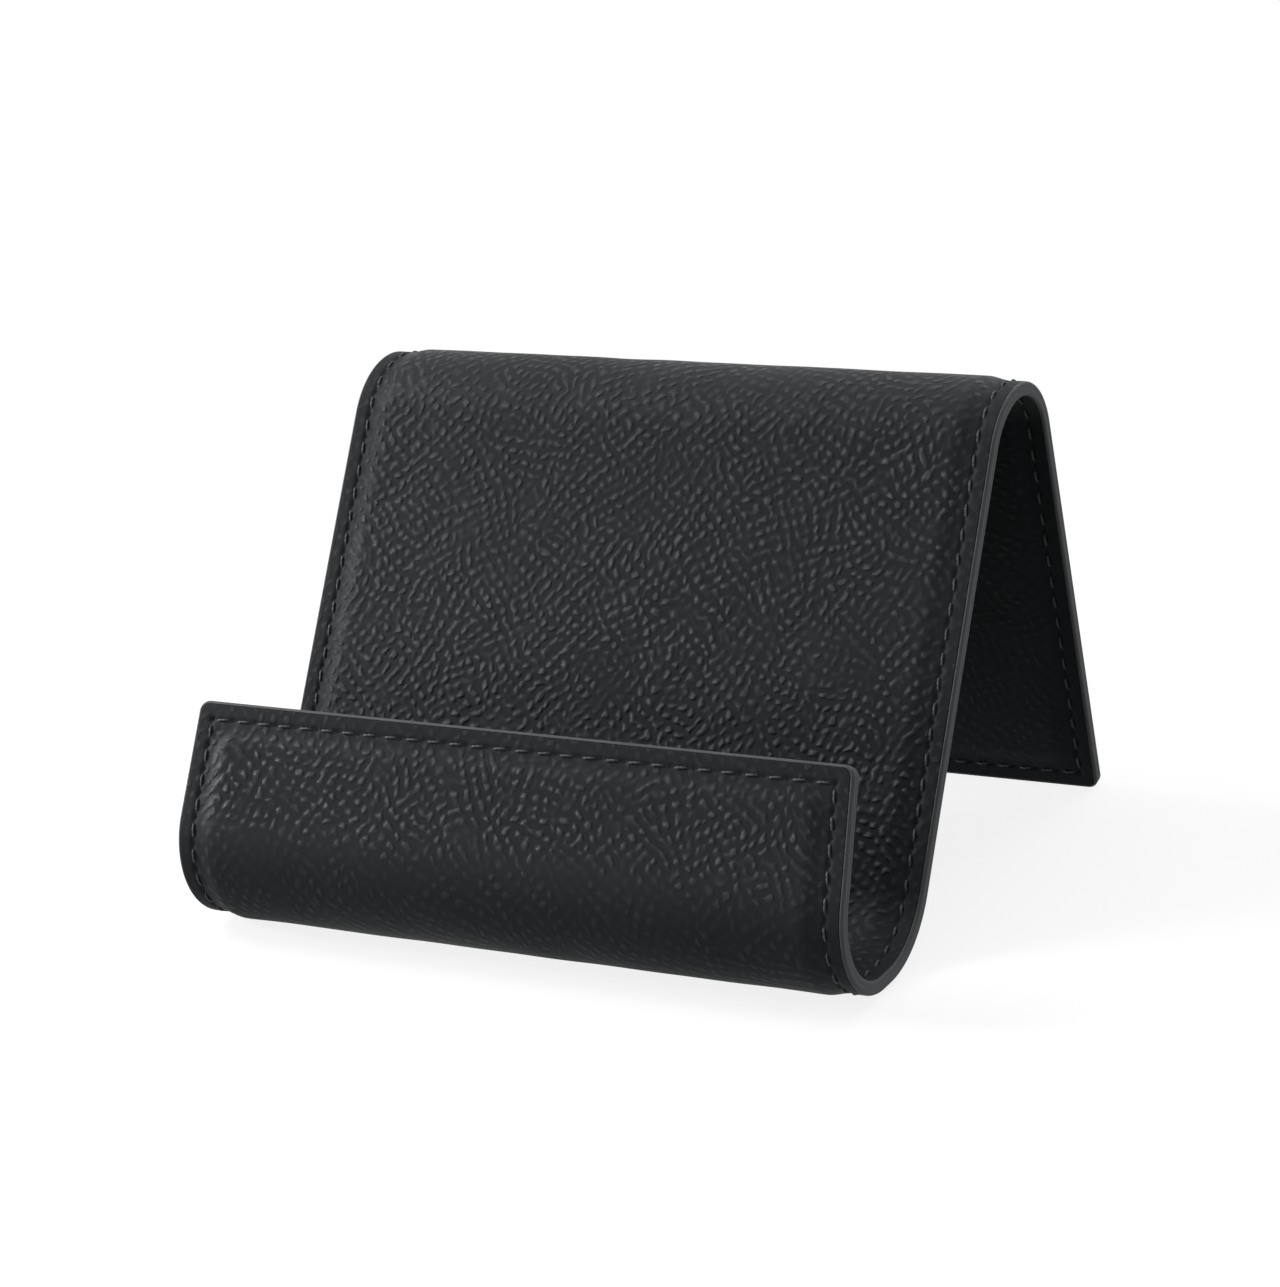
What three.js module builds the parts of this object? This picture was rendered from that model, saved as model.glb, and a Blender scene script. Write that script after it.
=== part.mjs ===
// Phone holder: one stitched leather strip, stiffened inside, bent to a lip, a channel for the
// phone, a leaning backrest and a back leg that reaches the desk.
// Millimetres, +Z up. The width runs along X and the phone faces -Y.
// The front side of the strip is the one that the phone touches; the back side is the other one.
import * as THREE from 'three';

// Side view of the strip, along its middle surface. Slopes are degrees from the desk.
const WIDTH = 100;
const LIP_SLOPE = 64;
const LIP_STRAIGHT = 16.6;
const LIP_NARROWING = 0.8;
const CHANNEL_FRONT_RADIUS = 10.7;
const DESK_FLAT = 2;
const CHANNEL_BACK_RADIUS = 14;
const BACKREST_SLOPE = 59;
const BACKREST_STRAIGHT = 60;
const TOP_FRONT_RADIUS = 11.5;
const TOP_BACK_RADIUS = 9;
const LEG_SLOPE = 77;
const CORNER_RADIUS = 1.5;

// Layers, from the middle outwards
const CORE_THICKNESS = 0.6;
const INTERLINING_THICKNESS = 0.2;
const LEATHER_THICKNESS = 0.95;
const GLUE_LINE = 0.05;

// Seam and painted rim
const STITCH_INSET = 2.5;
const THREAD_DIAMETER = 0.5;
const THREAD_SINK = 0.1;
const GROOVE_SIDE = 0.1;
const GROOVE_FLARE = 0.12;
const SHOULDER_WIDTH = 3;
const INTERLINING_FEATHER = 0.05;
const PAINT_THICKNESS = 0.2;
const RIM_CORNER_RADIUS = 0.4;

// Fineness of the curved faces
const BEND_STEP = 11;
const INNER_CORNER_RADIUS = 0.3;
const CORNER_STEPS = 3;
const RIM_STEPS = 3;
const THREAD_SIDES = 6;

// Sizes that follow from the ones above
const EDGE_HALF = LEATHER_THICKNESS + GLUE_LINE / 2;
const LEATHER_BED = CORE_THICKNESS / 2 + INTERLINING_THICKNESS + 2 * GLUE_LINE;
const BODY_HALF = LEATHER_BED + LEATHER_THICKNESS;
const SHOULDER_RISE = BODY_HALF - EDGE_HALF;
const GROOVE_HALF = THREAD_DIAMETER / 2 + GROOVE_SIDE;
const GROOVE_DEPTH = THREAD_SINK + THREAD_DIAMETER / 2 + GLUE_LINE;
const SHOULDER_START = STITCH_INSET + GROOVE_HALF + GROOVE_FLARE;
const SHOULDER_END = SHOULDER_START + SHOULDER_WIDTH;

const radians = THREE.MathUtils.degToRad;

// One run of the side view: a straight one has equal slopes, a bent one turns at a steady rate
function addRun(runs, slopeFrom, slopeTo, length) {
  const last = runs[runs.length - 1];
  const start = last ? pointOnRun(last, last.length) : { y: 0, z: 0 };
  const from = last ? last.from + last.length : 0;
  runs.push({ from, length, start, slopeFrom: radians(slopeFrom), slopeTo: radians(slopeTo) });
}

function addBend(runs, slopeFrom, slopeTo, radius) {
  addRun(runs, slopeFrom, slopeTo, radius * radians(Math.abs(slopeTo - slopeFrom)));
}

// Point at a distance along a run, with the direction that leaves the strip's front side
function pointOnRun(run, along) {
  const turn = (run.slopeTo - run.slopeFrom) / run.length;
  const slope = run.slopeFrom + turn * along;
  let y = along * Math.cos(slope);
  let z = along * Math.sin(slope);
  if (turn !== 0) {
    y = (Math.sin(slope) - Math.sin(run.slopeFrom)) / turn;
    z = (Math.cos(run.slopeFrom) - Math.cos(slope)) / turn;
  }
  return { y: run.start.y + y, z: run.start.z + z, outY: -Math.sin(slope), outZ: Math.cos(slope) };
}

// The strip from the lip's rim to the leg's rim
function sideView() {
  const lipDirection = LIP_SLOPE - 180;
  const runs = [];
  addRun(runs, lipDirection, lipDirection, LIP_STRAIGHT);
  addBend(runs, lipDirection, 0, CHANNEL_FRONT_RADIUS);
  const deskLevel = pointOnRun(runs[1], runs[1].length).z - BODY_HALF;
  addRun(runs, 0, 0, DESK_FLAT);
  addBend(runs, 0, BACKREST_SLOPE, CHANNEL_BACK_RADIUS);
  addRun(runs, BACKREST_SLOPE, BACKREST_SLOPE, BACKREST_STRAIGHT);
  addBend(runs, BACKREST_SLOPE, 0, TOP_FRONT_RADIUS);
  addBend(runs, 0, -LEG_SLOPE, TOP_BACK_RADIUS);
  const bendEnd = pointOnRun(runs[runs.length - 1], runs[runs.length - 1].length);
  const cornerDrop = (EDGE_HALF - RIM_CORNER_RADIUS) * Math.cos(radians(LEG_SLOPE));
  const legDrop = bendEnd.z - deskLevel - RIM_CORNER_RADIUS - cornerDrop;
  const legLength = RIM_CORNER_RADIUS + legDrop / Math.sin(radians(LEG_SLOPE));
  addRun(runs, -LEG_SLOPE, -LEG_SLOPE, legLength);
  return runs;
}

const RUNS = sideView();
const STRIP_LENGTH = RUNS[RUNS.length - 1].from + RUNS[RUNS.length - 1].length;

// Distances along the strip where its side view bends; every layer uses the same ones
function bendStations() {
  const stations = [];
  for (const run of RUNS.slice(1, -1)) {
    const turned = Math.abs(run.slopeTo - run.slopeFrom);
    const steps = Math.max(1, Math.round(turned / radians(BEND_STEP)));
    for (let step = 0; step < steps; step += 1) {
      stations.push(run.from + (run.length * step) / steps);
    }
  }
  stations.push(RUNS[RUNS.length - 1].from);
  return stations;
}

const STATIONS = bendStations();

// A place on the strip: across its width, along its length and out from its middle surface
function placeOnStrip(across, along, out) {
  const run = RUNS.findLast((candidate) => candidate.from <= along) ?? RUNS[0];
  const point = pointOnRun(run, along - run.from);
  const towardsRim = Math.max(0, 1 - along / LIP_STRAIGHT);
  const narrowed = 1 - (towardsRim * LIP_NARROWING) / (WIDTH / 2);
  return new THREE.Vector3(across * narrowed, point.y + out * point.outY, point.z + out * point.outZ);
}

// Half of the outline that lies a given inset in from the strip's edge, from lip to leg
function halfOutline(inset) {
  const corner = Math.max(CORNER_RADIUS - inset, INNER_CORNER_RADIUS);
  const side = WIDTH / 2 - inset;
  const points = [];
  for (let step = 0; step <= CORNER_STEPS; step += 1) {
    const turn = (Math.PI / 2) * (step / CORNER_STEPS);
    const across = side - corner * (1 - Math.sin(turn));
    const along = inset + corner * (1 - Math.cos(turn));
    points.push({ across, along });
  }
  const lipEnd = [...points];
  for (const along of STATIONS) {
    points.push({ across: side, along });
  }
  for (const { across, along } of lipEnd.reverse()) {
    points.push({ across, along: STRIP_LENGTH - along });
  }
  return points;
}

// A closed loop round the strip at one inset and one height over the middle surface
function loopAt([inset, out]) {
  const half = halfOutline(inset);
  const left = half.map(({ across, along }) => placeOnStrip(-across, along, out));
  const right = half.map(({ across, along }) => placeOnStrip(across, along, out));
  return [...left, ...right.reverse()];
}

// Solid whose cut across the rim is the given list of [inset, out] points. A ring's cut is a
// closed outline; a sheet's cut is open, and both its ends are filled across the strip.
function stripSolid(cut, isRing) {
  const loops = cut.map(loopAt);
  const count = loops[0].length;
  const indices = [];
  const quad = (a, b, c, d) => indices.push(a, b, c, a, c, d);
  const bands = isRing ? loops.length : loops.length - 1;
  for (let band = 0; band < bands; band += 1) {
    const here = band * count;
    const next = ((band + 1) % loops.length) * count;
    for (let k = 0; k < count; k += 1) {
      const after = (k + 1) % count;
      quad(here + k, here + after, next + after, next + k);
    }
  }
  if (!isRing) {
    const last = (loops.length - 1) * count;
    for (let k = 0; k < count / 2 - 1; k += 1) {
      const partner = count - 1 - k;
      quad(k, partner, partner - 1, k + 1);
      quad(last + k, last + k + 1, last + partner - 1, last + partner);
    }
  }
  const geometry = new THREE.BufferGeometry().setFromPoints(loops.flat());
  geometry.setIndex(indices);
  geometry.computeVertexNormals();
  return geometry;
}

// The same cut on the strip's back side
function mirrored(cut) {
  return cut.map(([inset, out]) => [inset, -out]).reverse();
}

// Soft rise of the leather from the seam to the padded middle, 0 at its foot and 1 at its top
function shoulderAt(inset) {
  return THREE.MathUtils.smoothstep(inset, SHOULDER_START, SHOULDER_END);
}

// Inset at which the rise first leaves room for the core and the interlining's thin rim
function coreInset() {
  const room = CORE_THICKNESS / 2 + 1.5 * GLUE_LINE + INTERLINING_FEATHER;
  const share = 0.5 - Math.sin(Math.asin(1 - (2 * room) / SHOULDER_RISE) / 3);
  return SHOULDER_START + share * SHOULDER_WIDTH;
}

// Rounded corner between a face and the cut rim: a quarter turn about the corner's centre, from the
// face to the rim
function rimCorner(radius) {
  const points = [];
  for (let step = 0; step <= RIM_STEPS; step += 1) {
    const turn = (Math.PI / 2) * (step / RIM_STEPS);
    const inset = RIM_CORNER_RADIUS - radius * Math.sin(turn);
    const out = EDGE_HALF - RIM_CORNER_RADIUS + radius * Math.cos(turn);
    points.push([inset, out]);
  }
  return points;
}

// Leather sheet on the front side, with its stitch groove, soft shoulder and rim under the paint
function coverCut() {
  const faceAt = (inset) => [inset, EDGE_HALF + SHOULDER_RISE * shoulderAt(inset)];
  const underAt = (inset) => [inset, GLUE_LINE / 2 + SHOULDER_RISE * shoulderAt(inset)];
  const third = SHOULDER_WIDTH / 3;
  const innerRimInset = coreInset();
  const rimInset = PAINT_THICKNESS + GLUE_LINE;
  const paintEnd = RIM_CORNER_RADIUS + GLUE_LINE;
  return [
    faceAt(SHOULDER_END),
    faceAt(SHOULDER_START + 2 * third),
    faceAt(SHOULDER_START + third),
    faceAt(SHOULDER_START),
    [STITCH_INSET + GROOVE_HALF, EDGE_HALF - GROOVE_DEPTH],
    [STITCH_INSET - GROOVE_HALF, EDGE_HALF - GROOVE_DEPTH],
    [STITCH_INSET - GROOVE_HALF - GROOVE_FLARE, EDGE_HALF],
    [paintEnd, EDGE_HALF],
    [paintEnd, EDGE_HALF - rimInset],
    ...rimCorner(RIM_CORNER_RADIUS - rimInset),
    [rimInset, GLUE_LINE / 2],
    underAt(SHOULDER_START),
    underAt((SHOULDER_START + innerRimInset) / 2),
    underAt(innerRimInset),
    underAt(SHOULDER_END),
  ];
}

// Soft sheet between the core and the front leather, thinned to a feather at its rim
function interliningCut() {
  const topAt = (inset) => [inset, SHOULDER_RISE * shoulderAt(inset) - GLUE_LINE / 2];
  const rim = coreInset();
  return [topAt(SHOULDER_END), topAt(rim), [rim, CORE_THICKNESS / 2 + GLUE_LINE]];
}

function coreCut() {
  const rim = coreInset();
  return [[rim, CORE_THICKNESS / 2], [rim, -CORE_THICKNESS / 2]];
}

// One run of stitches, as an unbroken thread lying in the groove
function threadCut() {
  const points = [];
  for (let side = 0; side < THREAD_SIDES; side += 1) {
    const turn = (2 * Math.PI * side) / THREAD_SIDES;
    const inset = STITCH_INSET - (THREAD_DIAMETER / 2) * Math.cos(turn);
    const out = EDGE_HALF - THREAD_SINK + (THREAD_DIAMETER / 2) * Math.sin(turn);
    points.push([inset, out]);
  }
  return points.reverse();
}

// Paint over the cut rim and its two rounded corners, from one leather face to the other
function paintCut() {
  const outside = rimCorner(RIM_CORNER_RADIUS);
  const inside = rimCorner(RIM_CORNER_RADIUS - PAINT_THICKNESS);
  return [...outside, ...mirrored(outside), ...mirrored(inside).reverse(), ...inside.reverse()];
}

const BLACK_LEATHER = { color: 0x222427, roughness: 0.5, metalness: 0 };
const BLACK_THREAD = { color: 0x141517, roughness: 0.7, metalness: 0 };
const BLACK_EDGE_PAINT = { color: 0x3b3d40, roughness: 0.6, metalness: 0 };
const BARE_STEEL = { color: 0x8f9498, roughness: 0.35, metalness: 1 };
const PALE_INTERLINING = { color: 0xb9b2a4, roughness: 0.95, metalness: 0 };

function namedMesh(name, geometry, look) {
  const mesh = new THREE.Mesh(geometry, new THREE.MeshStandardMaterial(look));
  mesh.name = name;
  return mesh;
}

const holder = new THREE.Group();
holder.add(
  namedMesh('cover_front', stripSolid(coverCut(), false), BLACK_LEATHER),
  namedMesh('cover_back', stripSolid(mirrored(coverCut()), false), BLACK_LEATHER),
  namedMesh('core_plate', stripSolid(coreCut(), false), BARE_STEEL),
  namedMesh('interlining_front', stripSolid(interliningCut(), false), PALE_INTERLINING),
  namedMesh('interlining_back', stripSolid(mirrored(interliningCut()), false), PALE_INTERLINING),
  namedMesh('needle_thread', stripSolid(threadCut(), true), BLACK_THREAD),
  namedMesh('bobbin_thread', stripSolid(mirrored(threadCut()), true), BLACK_THREAD),
  namedMesh('edge_paint', stripSolid(paintCut(), true), BLACK_EDGE_PAINT),
);

// The origin is on the desk, under the middle of the holder
const extent = new THREE.Box3().setFromObject(holder, true);
holder.position.set(0, -(extent.min.y + extent.max.y) / 2, -extent.min.z);

export default holder;
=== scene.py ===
# %% [markdown]
# # A stitched leather phone holder
# The holder is one strip of black grained leather on both sides of a stiff plate, sewn all round,
# painted along its rim and bent over a lip, a channel, a leaning backrest and a back leg.
# The lesson works as the maker does: the sheets are cut flat, sewn flat, and then everything is
# bent over the same side view. So each layer stays in step with the others.

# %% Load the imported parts
import math

import bpy
import numpy as np
from mathutils import Matrix, Vector


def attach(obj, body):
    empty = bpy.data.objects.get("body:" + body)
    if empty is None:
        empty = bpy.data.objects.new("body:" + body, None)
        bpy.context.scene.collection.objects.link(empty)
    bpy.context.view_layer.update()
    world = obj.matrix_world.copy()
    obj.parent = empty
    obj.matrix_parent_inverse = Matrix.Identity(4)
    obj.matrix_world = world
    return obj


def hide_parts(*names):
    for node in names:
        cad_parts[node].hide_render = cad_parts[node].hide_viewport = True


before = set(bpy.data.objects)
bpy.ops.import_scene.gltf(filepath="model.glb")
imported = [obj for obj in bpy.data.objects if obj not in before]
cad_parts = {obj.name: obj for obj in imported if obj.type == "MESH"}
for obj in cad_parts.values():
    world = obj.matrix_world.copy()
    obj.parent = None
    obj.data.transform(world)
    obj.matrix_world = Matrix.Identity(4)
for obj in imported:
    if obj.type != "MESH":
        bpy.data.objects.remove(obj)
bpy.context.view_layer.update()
print("nodes", sorted(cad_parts))

# %% [markdown]
# ## Sizes
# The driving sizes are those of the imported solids, so that each dressed piece lies where its solid
# does. They could be read off the solids' boxes, but a box says nothing of a bend or a slope.
# Lengths are in millimetres, as a maker says them, and turned to metres when a mesh or a curve is
# made. Slopes are degrees from the desk.

# %% Sizes of the strip and its layers
MM = 0.001
WIDTH = 100
LIP_SLOPE = 64
LIP_STRAIGHT = 16.6
LIP_NARROWING = 0.8
CHANNEL_FRONT_RADIUS = 10.7
DESK_FLAT = 2
CHANNEL_BACK_RADIUS = 14
BACKREST_SLOPE = 59
BACKREST_STRAIGHT = 60
TOP_FRONT_RADIUS = 11.5
TOP_BACK_RADIUS = 9
LEG_SLOPE = 77
CORNER_RADIUS = 1.5
CORE_THICKNESS = 0.6
INTERLINING_THICKNESS = 0.2
LEATHER_THICKNESS = 0.95
GLUE_LINE = 0.05
PAINT_THICKNESS = 0.2
RIM_CORNER_RADIUS = 0.4
STITCH_INSET = 2.5
SHOULDER_START = 2.97
SHOULDER_WIDTH = 3
RIM_START = (-35.1542, 31.8606)

EDGE_HALF = LEATHER_THICKNESS + GLUE_LINE / 2
BODY_HALF = CORE_THICKNESS / 2 + INTERLINING_THICKNESS + 2 * GLUE_LINE + LEATHER_THICKNESS
SHOULDER_RISE = BODY_HALF - EDGE_HALF
print(f"the strip is {2 * EDGE_HALF:.2f} mm thick at its margin")
print(f"and {2 * BODY_HALF:.2f} mm thick in its middle")

# %% [markdown]
# ## The side view
# Seen from its side the strip is a line of straight runs and round bends. A bend turns at a steady
# rate, so a point on it follows from the slope alone. A curve object that holds this line is what
# every flat piece is bent over later. It could be drawn by hand with handles, but then its lengths
# would not be known, and the seam could not be laid out on the flat.

# %% Runs of the side view
def run_points(start, slope_from, slope_to, length, step=0.2):
    """Points along one run, as rows of y and z, and the count follows from the step."""
    steps = max(1, round(length / step))
    along = np.linspace(0, length, steps + 1)
    first, last = math.radians(slope_from), math.radians(slope_to)
    turn = (last - first) / length
    if turn == 0:
        y, z = along * math.cos(first), along * math.sin(first)
    else:
        slope = first + turn * along
        y = (np.sin(slope) - math.sin(first)) / turn
        z = (math.cos(first) - np.cos(slope)) / turn
    return np.stack([start[0] + y, start[1] + z], axis=1)


def side_view():
    """The middle line from the lip's rim to the leg's rim, and where each run starts."""
    lip = LIP_SLOPE - 180

    def bend(slope_from, slope_to, radius):
        return slope_from, slope_to, radius * math.radians(abs(slope_to - slope_from))

    runs = [
        (lip, lip, LIP_STRAIGHT),
        bend(lip, 0, CHANNEL_FRONT_RADIUS),
        (0, 0, DESK_FLAT),
        bend(0, BACKREST_SLOPE, CHANNEL_BACK_RADIUS),
        (BACKREST_SLOPE, BACKREST_SLOPE, BACKREST_STRAIGHT),
        bend(BACKREST_SLOPE, 0, TOP_FRONT_RADIUS),
        bend(0, -LEG_SLOPE, TOP_BACK_RADIUS),
    ]
    line = [run_points(RIM_START, *runs[0])]
    for run in runs[1:]:
        line.append(run_points(line[-1][-1], *run)[1:])
    slope = math.radians(LEG_SLOPE)
    corner_drop = (EDGE_HALF - RIM_CORNER_RADIUS) * math.cos(slope)
    leg_drop = line[-1][-1][1] - RIM_CORNER_RADIUS - corner_drop
    leg = RIM_CORNER_RADIUS + leg_drop / math.sin(slope)
    line.append(run_points(line[-1][-1], -LEG_SLOPE, -LEG_SLOPE, leg)[1:])
    lengths = [run[2] for run in runs] + [leg]
    return np.concatenate(line), np.cumsum([0] + lengths)


SIDE_LINE, RUN_STARTS = side_view()
STRIP_LENGTH = RUN_STARTS[-1]
CHANNEL_START = RUN_STARTS[1]
print(f"strip length {STRIP_LENGTH:.2f} mm, runs start at {np.round(RUN_STARTS, 1).tolist()}")

# %% The side view as a curve
def in_scene(name, data):
    """A new object that holds this data."""
    obj = bpy.data.objects.new(name, data)
    bpy.context.collection.objects.link(obj)
    return obj


def side_curve():
    curve = bpy.data.curves.new("side_view", "CURVE")
    curve.dimensions = "3D"
    spline = curve.splines.new("POLY")
    spline.points.add(len(SIDE_LINE) - 1)
    corners = np.zeros((len(SIDE_LINE), 4))
    corners[:, 1:3] = SIDE_LINE * MM
    spline.points.foreach_set("co", corners.ravel())
    return in_scene("side_view", curve)


side_object = side_curve()
print(f"side view: {len(SIDE_LINE)} points")

# %% [markdown]
# ## The bending tool
# One Geometry Nodes tree bends any flat piece. On the flat, X runs across the strip, Y along it and
# Z out from its middle surface. The tree reads how far along the side view a point lies, takes the
# place and the direction there, and sets the point across and out from it. The lip's own slight
# narrowing belongs to the shape as well, so the same tree makes it. A Curve modifier would bend the
# pieces too, but it can't narrow the lip without thinning it.

# %% A small helper for building node trees
class Wiring:
    """A node tree to which nodes are added one by one."""

    def __init__(self, tree):
        self.tree = tree

    def node(self, kind, settings=None, sockets=None):
        """A node of this kind: its settings come first, then the values or links of its sockets."""
        made = self.tree.nodes.new(kind)
        for key, value in (settings or {}).items():
            setattr(made, key, value)
        for key, value in (sockets or {}).items():
            value = getattr(value, "socket", value)
            if isinstance(value, bpy.types.NodeSocket):
                self.tree.links.new(value, made.inputs[key])
            else:
                made.inputs[key].default_value = value
        return made


class Tree(Wiring):
    """A Geometry Nodes tree with named inputs."""

    def __init__(self, name):
        super().__init__(bpy.data.node_groups.new(name, "GeometryNodeTree"))
        self.tree.is_modifier = True
        for way in ("INPUT", "OUTPUT"):
            self.outer_socket("Geometry", way, "Geometry")
        self.entry = self.node("NodeGroupInput")

    def outer_socket(self, name, way, kind):
        """A socket on the tree's own outside."""
        kind = f"NodeSocket{kind}"
        return self.tree.interface.new_socket(name, in_out=way, socket_type=kind)

    def given(self, name, kind):
        """A named input of the tree."""
        socket = self.outer_socket(name, "INPUT", kind)
        return next(out for out in self.entry.outputs if out.identifier == socket.identifier)

    def number(self, operation, a, b=0.0, c=0.0):
        """One step of arithmetic on numbers."""
        return self.node("ShaderNodeMath", {"operation": operation}, {0: a, 1: b, 2: c}).outputs[0]

    def vector(self, operation, a, b=(0, 0, 0)):
        """One step of arithmetic on vectors."""
        other = "Scale" if operation == "SCALE" else 1
        settings = {"operation": operation}
        return self.node("ShaderNodeVectorMath", settings, {0: a, other: b}).outputs[0]

    def finish(self, geometry, material):
        """The end that every tree has: real copies, and a material."""
        real = self.node("GeometryNodeRealizeInstances", None, {"Geometry": geometry})
        values = {"Geometry": real.outputs[0], "Material": material}
        dressed = self.node("GeometryNodeSetMaterial", None, values)
        self.node("NodeGroupOutput", None, {0: dressed.outputs[0]})
        print(f"tree {self.tree.name}: {len(self.tree.nodes)} nodes")
        return self.tree

# %% The bending tree
def bending_tree():
    tree = Tree("bend_over_side_view")
    side = tree.given("Side View", "Object")
    lip = tree.given("Lip Straight", "Float")
    narrowing = tree.given("Lip Narrowing Share", "Float")
    finish = tree.given("Finish", "Material")
    line = tree.node("GeometryNodeObjectInfo", None, {"Object": side})
    place = tree.node("GeometryNodeInputPosition")
    apart = tree.node("ShaderNodeSeparateXYZ", None, {0: place.outputs[0]})
    across, along, out = apart.outputs
    sample = tree.node(
        "GeometryNodeSampleCurve",
        {"mode": "LENGTH", "use_all_curves": True},
        {"Curves": line.outputs["Geometry"], "Length": along},
    )
    outward = tree.vector("CROSS_PRODUCT", (1, 0, 0), sample.outputs["Tangent"])
    outward = tree.vector("SCALE", tree.vector("NORMALIZE", outward), out)
    raised = tree.vector("ADD", sample.outputs["Position"], outward)
    towards_rim = tree.number("SUBTRACT", 1.0, tree.number("DIVIDE", along, lip))
    towards_rim = tree.number("MAXIMUM", towards_rim, 0.0)
    narrowed = tree.number("SUBTRACT", 1.0, tree.number("MULTIPLY", towards_rim, narrowing))
    sideways = tree.vector("SCALE", (1, 0, 0), tree.number("MULTIPLY", across, narrowed))
    moved = tree.node(
        "GeometryNodeSetPosition",
        None,
        {"Geometry": tree.entry.outputs[0], "Position": tree.vector("ADD", raised, sideways)},
    )
    return tree.finish(moved.outputs[0], finish)


BEND = bending_tree()

# %% Putting a tree to work on a piece
def set_inputs(modifier, values):
    """Sets a tree's named inputs by their sockets' identifiers, before the first evaluation."""
    for item in modifier.node_group.interface.items_tree:
        if item.item_type == "SOCKET" and item.in_out == "INPUT" and item.name in values:
            modifier[item.identifier] = values[item.name]


def made_by(obj, group, values):
    """The object's mesh after this tree, as a plain mesh with no modifier left."""
    modifier = obj.modifiers.new(group.name, "NODES")
    modifier.node_group = group
    set_inputs(modifier, values)
    seen = obj.evaluated_get(bpy.context.evaluated_depsgraph_get())
    mesh = bpy.data.meshes.new_from_object(seen)
    obj.modifiers.remove(modifier)
    obj.data = mesh
    return obj


def box_of(obj):
    """Lowest and highest corner of a piece's own mesh, in millimetres."""
    points = np.empty(len(obj.data.vertices) * 3)
    obj.data.vertices.foreach_get("co", points)
    points = points.reshape(-1, 3) / MM
    return np.round(points.min(axis=0), 2), np.round(points.max(axis=0), 2)


def bent(obj, finish):
    """A flat piece, bent over the side view."""
    values = {
        "Side View": side_object,
        "Lip Straight": LIP_STRAIGHT * MM,
        "Lip Narrowing Share": LIP_NARROWING / (WIDTH / 2),
        "Finish": finish,
    }
    made_by(obj, BEND, values)
    obj.data.name = obj.name
    lo, hi = box_of(obj)
    print(f"{obj.name}: {len(obj.data.polygons)} faces, from {lo.tolist()} to {hi.tolist()} mm")
    return obj

# %% [markdown]
# ## Shader arithmetic
# A finish could be wired by hand, node by node. Here it is written as ordinary expressions: the
# small class below wraps a socket, and each operator on it adds one Math node, so that a formula
# in the lesson reads like the formula it is.

# %% A value in a finish
class Value:
    """A number that changes over a surface."""

    def __init__(self, look, socket):
        self.look = look
        self.socket = socket

    def step(self, operation, *others):
        """One Math node on this value and the others."""
        given = dict(enumerate([self, *others]))
        return self.look.value("ShaderNodeMath", {"operation": operation}, given)

    def __add__(self, other):
        return self.step("ADD", other)

    def __sub__(self, other):
        return self.step("SUBTRACT", other)

    def __rsub__(self, other):
        return self.step("MULTIPLY_ADD", -1, other)

    def __mul__(self, other):
        return self.step("MULTIPLY", other)

    __radd__ = __add__
    __rmul__ = __mul__

    def smooth(self, low, high):
        """0 below low and 1 above high, with a soft change between them."""
        ends = {"Value": self, "From Min": low, "From Max": high}
        settings = {"interpolation_type": "SMOOTHSTEP"}
        return self.look.value("ShaderNodeMapRange", settings, ends)

# %% A finish
class Look(Wiring):
    """The shader nodes of a material or of the world."""

    def __init__(self, owner):
        owner.use_nodes = True
        super().__init__(owner.node_tree)
        self.tree.nodes.clear()
        self.owner = owner

    def value(self, kind, settings=None, sockets=None, output=0):
        """One output of a new node, for use in an expression."""
        return Value(self, self.node(kind, settings, sockets).outputs[output])

    def blend(self, factor, first, second):
        """One colour turning to another by a factor."""
        settings = {"data_type": "RGBA", "blend_type": "MIX"}
        colours = {0: factor, 6: (*first, 1), 7: (*second, 1)}
        return self.node("ShaderNodeMix", settings, colours).outputs[2]

    def mixed(self, factor, first, second):
        """One shader turning to another by a factor."""
        parts = {0: factor, 1: first.outputs[0], 2: second.outputs[0]}
        return self.node("ShaderNodeMixShader", None, parts)

    def ends_in(self, kind, shader):
        """The output at the end, and the finished material or world."""
        self.node(kind, None, {"Surface": shader.outputs[0]})
        print(f"finish {self.owner.name}: {len(self.tree.nodes)} nodes")
        return self.owner


def coat(name):
    """An empty look for a new material."""
    return Look(bpy.data.materials.new(name))


def shaded(look, sockets):
    """The usual end of a material, with these values on its shader."""
    shader = look.node("ShaderNodeBsdfPrincipled", None, sockets)
    return look.ends_in("ShaderNodeOutputMaterial", shader)

# %% [markdown]
# ## Grained leather
# The hide is black, with small round pebbles about 1.6 mm apart. They stand in rows that wander
# like the lines of a fingerprint, join into short ridges in some places and fade in others. A cell
# pattern gives pebbles without rows. Band-limited stripes have a spacing and a direction, so two
# Gabor textures are crossed: one along the rows, and one across them that breaks them into pebbles.
# Both are read at places that a noise has shifted a little, so that no row runs quite straight.

# %% Sizes of the grain
MAP_UNIT = 200
GRAIN_SCALE = 0.28
GRAIN_FREQUENCY = 2.2
GRAIN_ORDER = 0.93
SHIFT_SCALE, SHIFT = 0.6, 0.7
ROW_SCALE, ROW_SWING, ROW_START = 0.055, 2.0, 1.75
BREAK_SCALE, BREAK_SWING = 0.16, 1.6
ROW_CONTRAST, BREAK_CONTRAST = 1.3, 1.6
PEBBLE_SLOPE = (0.1, 0.85)
PATCH_SCALE, PATCH_SLOPE, PATCH_LEAST = 0.07, (0.28, 0.42), 0.6
PORE_SCALE, PORE_DETAIL, PORE_ROUGHNESS = 3.0, 2.0, 0.6
PEBBLE_HEIGHT = 0.25
PORE_HEIGHT = 0.004
print(f"pebbles about {1 / (GRAIN_SCALE * GRAIN_FREQUENCY):.1f} mm apart")

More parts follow.
